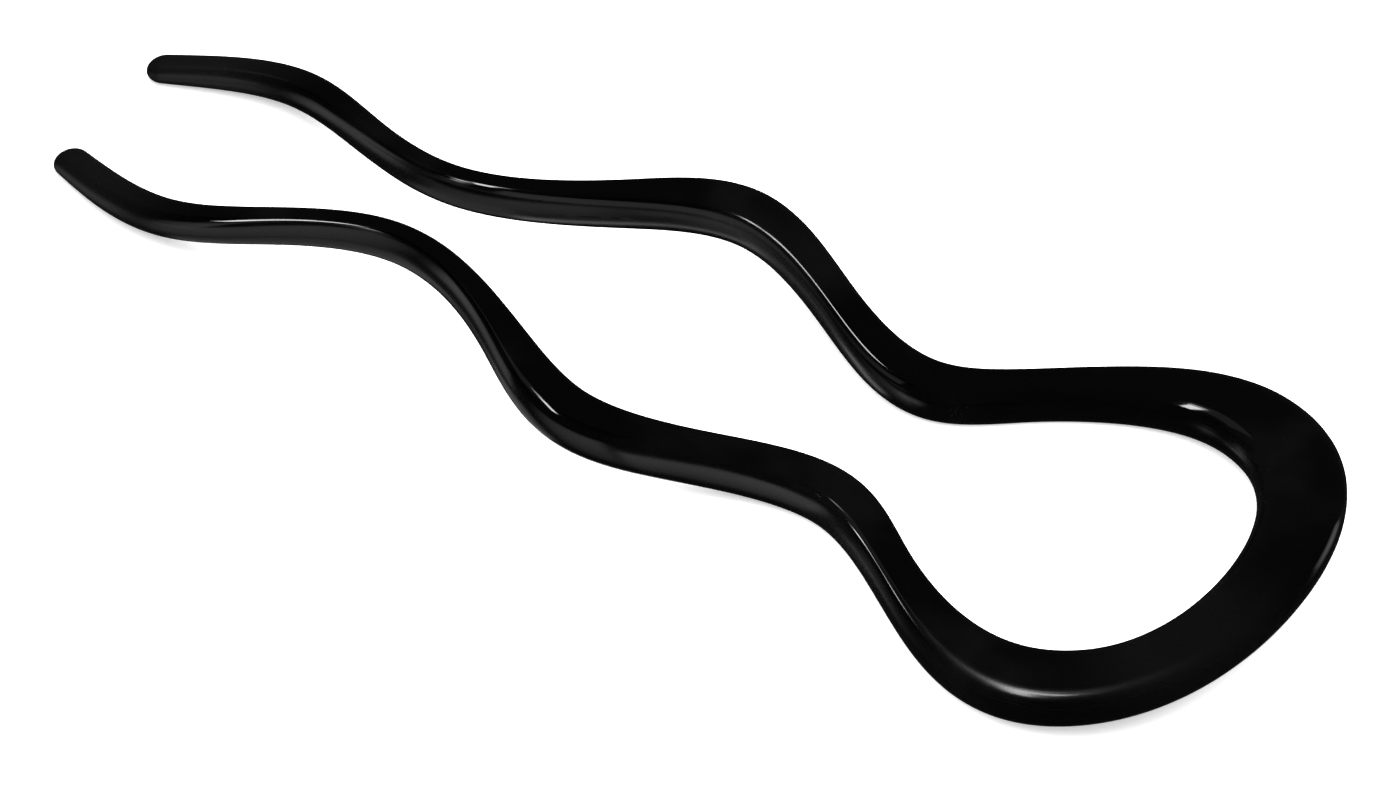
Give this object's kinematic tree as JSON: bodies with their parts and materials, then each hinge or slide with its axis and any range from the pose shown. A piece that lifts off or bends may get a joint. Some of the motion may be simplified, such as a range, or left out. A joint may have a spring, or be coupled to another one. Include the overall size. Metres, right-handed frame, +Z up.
{
  "type": "french hair pin",
  "caption": "Wavy U-shaped hair pin in glossy black plastic, with a broad round bow and mirrored, tapering wavy legs that slide into twisted hair.",
  "frame": {"origin": "on the resting surface, below the middle of the overall length and midway between the legs", "axes": "+X along the pin from the tips to the bow, +Y across the legs, +Z up from the resting surface"},
  "size_m": [0.11, 0.0398, 0.0072],
  "materials": {
    "black_acetate": "gloss"
  },
  "bodies": {
    "root": {"hair_pin": "black_acetate"}
  },
  "joints": []
}
